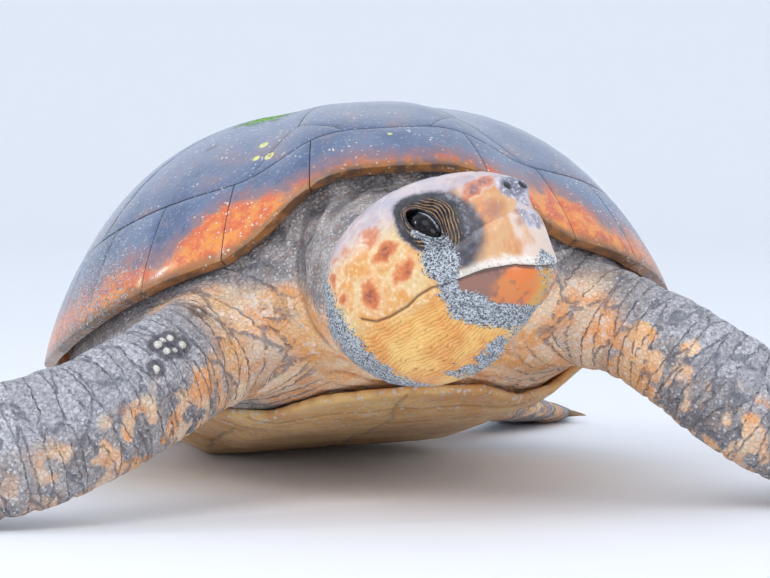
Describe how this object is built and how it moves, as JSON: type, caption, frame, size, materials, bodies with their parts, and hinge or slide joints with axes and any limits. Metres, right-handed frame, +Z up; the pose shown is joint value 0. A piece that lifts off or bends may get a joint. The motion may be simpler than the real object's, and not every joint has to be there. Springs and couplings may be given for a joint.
{
  "type": "loggerhead turtle",
  "caption": "Life-size loggerhead turtle resting on its belly and flippers, head raised and turned to its left, domed shell with a flared rim.",
  "frame": {"origin": "on the floor, below the middle of the whole animal's outline", "axes": "+Z up, -Y ahead along the shell's midline, +X to the animal's left"},
  "size_m": [1.4182, 1.4228, 0.4533],
  "materials": {
    "skin": "wrinkled reptile skin, brown-grey above, yellow and orange below and on the head",
    "shell_dark": "smooth wet horn, dark blue-grey to brown",
    "shell_rim": "horn, dark above with an orange and yellow rim",
    "plastron": "smooth pale yellow horn",
    "beak": "polished horn, cream to orange with a pale edge",
    "eye": "wet, near black",
    "claw": "horn"
  },
  "bodies": {
    "root": {"beak_lower": "beak", "beak_upper": "beak", "claw_fore_left": "claw", "claw_fore_right": "claw", "claw_hind_left": "claw", "claw_hind_right": "claw", "costal_left_1": "shell_dark", "costal_left_2": "shell_dark", "costal_left_3": "shell_dark", "costal_left_4": "shell_dark", "costal_left_5": "shell_dark", "costal_right_1": "shell_dark", "costal_right_2": "shell_dark", "costal_right_3": "shell_dark", "costal_right_4": "shell_dark", "costal_right_5": "shell_dark", "eye_left": "eye", "eye_right": "eye", "fore_flipper_left": "skin", "fore_flipper_right": "skin", "head": "skin", "hind_flipper_left": "skin", "hind_flipper_right": "skin", "lower_jaw": "skin", "marginal_left_01": "shell_rim", "marginal_left_02": "shell_rim", "marginal_left_03": "shell_rim", "marginal_left_04": "shell_rim", "marginal_left_05": "shell_rim", "marginal_left_06": "shell_rim", "marginal_left_07": "shell_rim", "marginal_left_08": "shell_rim", "marginal_left_09": "shell_rim", "marginal_left_10": "shell_rim", "marginal_left_11": "shell_rim", "marginal_left_12": "shell_rim", "marginal_right_01": "shell_rim", "marginal_right_02": "shell_rim", "marginal_right_03": "shell_rim", "marginal_right_04": "shell_rim", "marginal_right_05": "shell_rim", "marginal_right_06": "shell_rim", "marginal_right_07": "shell_rim", "marginal_right_08": "shell_rim", "marginal_right_09": "shell_rim", "marginal_right_10": "shell_rim", "marginal_right_11": "shell_rim", "marginal_right_12": "shell_rim", "neck": "skin", "nuchal": "shell_rim", "plastron": "plastron", "tail": "skin", "trunk": "skin", "upper_arm_left": "skin", "upper_arm_right": "skin", "vertebral_1": "shell_dark", "vertebral_2": "shell_dark", "vertebral_3": "shell_dark", "vertebral_4": "shell_dark", "vertebral_5": "shell_dark"}
  },
  "joints": []
}
